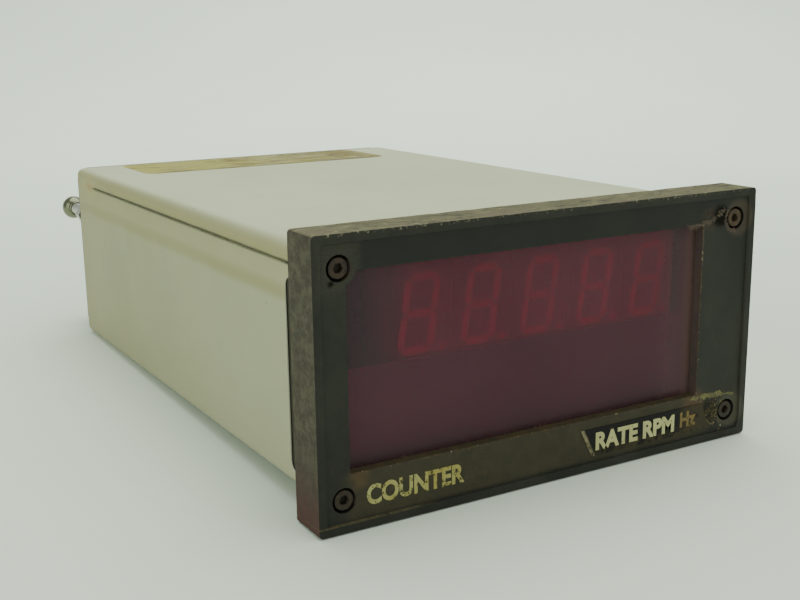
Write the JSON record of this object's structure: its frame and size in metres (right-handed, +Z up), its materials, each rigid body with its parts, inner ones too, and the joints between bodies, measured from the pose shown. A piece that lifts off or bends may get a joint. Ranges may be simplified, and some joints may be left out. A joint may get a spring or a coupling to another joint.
{
  "type": "frequency counter",
  "caption": "Panel-mount frequency counter: flat painted case, dark bezel, smoked red window over slanted digits, rear wire terminals, rate switches and trimmer.",
  "frame": {"origin": "middle of the bezel's back face, in the plane where that face meets the front of the panel", "axes": "+Y runs from the panel to the rear of the case, +X is to the right as seen from the front, +Z is up"},
  "size_m": [0.096, 0.1619, 0.05],
  "materials": {
    "bezel_black": "satin, worn lighter on its edges",
    "dark_steel": "blackened, rusted in the sockets",
    "red_filter": "smoked red transparent plastic",
    "label_black": "satin film",
    "mask_grey": "matt",
    "circuit_board": "solder-masked laminate",
    "chip_black": "moulded epoxy",
    "frame_grey": "moulded",
    "case_paint": "satin paint on sheet steel",
    "label_paper": "aged varnished film",
    "guide_black": "moulded",
    "pin_gold": "plated pins in a plastic strip",
    "can_steel": "drawn can",
    "core_steel": "stacked laminations",
    "coil_tape": "taped winding",
    "sleeve_blue": "shrunk sleeve",
    "bare_aluminium": "bent sheet",
    "zinc_steel": "zinc plated",
    "resistor_tan": "painted ceramic",
    "fuse_glass": "glass tube with plated caps",
    "switch_red": "moulded",
    "lever_white": "moulded",
    "trimmer_blue": "moulded",
    "panel_dark": "fibre laminate",
    "strip_black": "moulded phenolic",
    "screw_brass": "nickelled brass, tarnished",
    "bright_chrome": "plated, bright",
    "digit_face": "grey face",
    "digit_segment": "unlit red diffuser"
  },
  "bodies": {
    "meter": {"bezel": "bezel_black", "bezel_screws": "dark_steel", "filter_window": "red_filter", "front_label": "label_black", "lower_mask": "mask_grey", "digit_body_1": "digit_face", "digit_body_2": "digit_face", "digit_body_3": "digit_face", "digit_body_4": "digit_face", "digit_body_5": "digit_face", "digit_segments_1": "digit_segment", "digit_segments_2": "digit_segment", "digit_segments_3": "digit_segment", "digit_segments_4": "digit_segment", "digit_segments_5": "digit_segment", "display_board": "circuit_board", "driver_chips": "chip_black", "front_frame": "frame_grey", "case_body": "case_paint", "top_cover": "case_paint", "top_label": "label_paper", "card_guides": "guide_black", "main_board": "circuit_board", "board_link": "pin_gold", "counter_chip": "chip_black", "logic_chips": "chip_black", "crystal": "can_steel", "transformer_core": "core_steel", "transformer_coil": "coil_tape", "filter_capacitor": "sleeve_blue", "small_capacitors": "sleeve_blue", "bridge_diodes": "chip_black", "regulator": "chip_black", "heat_sink": "bare_aluminium", "regulator_screw": "zinc_steel", "resistors": "resistor_tan", "fuse": "fuse_glass", "fuse_clips": "zinc_steel", "transistors": "chip_black", "rear_board": "circuit_board", "rear_link": "pin_gold", "switch_body": "switch_red", "trimmer_body": "trimmer_blue", "rear_panel": "panel_dark", "rear_panel_screws": "zinc_steel", "terminal_strip": "strip_black", "terminal_plates": "zinc_steel", "terminal_screws": "screw_brass", "terminal_tails": "zinc_steel", "bracket_studs": "zinc_steel", "stud_nuts": "zinc_steel", "cap_nuts": "bright_chrome"},
    "switch_lever_1": {"switch_lever_1": "lever_white"},
    "switch_lever_2": {"switch_lever_2": "lever_white"},
    "switch_lever_3": {"switch_lever_3": "lever_white"},
    "switch_lever_4": {"switch_lever_4": "lever_white"},
    "trimmer_rotor": {"trimmer_rotor": "lever_white"}
  },
  "joints": [
    {"name": "switch_lever_1_slide", "type": "slide", "parent": "meter", "child": "switch_lever_1", "axis": [0, 0, 1], "range_m": [-0.0014, 0]},
    {"name": "switch_lever_2_slide", "type": "slide", "parent": "meter", "child": "switch_lever_2", "axis": [0, 0, 1], "range_m": [0, 0.0014]},
    {"name": "switch_lever_3_slide", "type": "slide", "parent": "meter", "child": "switch_lever_3", "axis": [0, 0, 1], "range_m": [0, 0.0014]},
    {"name": "switch_lever_4_slide", "type": "slide", "parent": "meter", "child": "switch_lever_4", "axis": [0, 0, 1], "range_m": [-0.0014, 0]},
    {"name": "trimmer_turn", "type": "hinge", "parent": "meter", "child": "trimmer_rotor", "pos_m": [0.01, 0.1335, 0.006], "axis": [0, 1, 0], "range_deg": [-135, 135]}
  ]
}
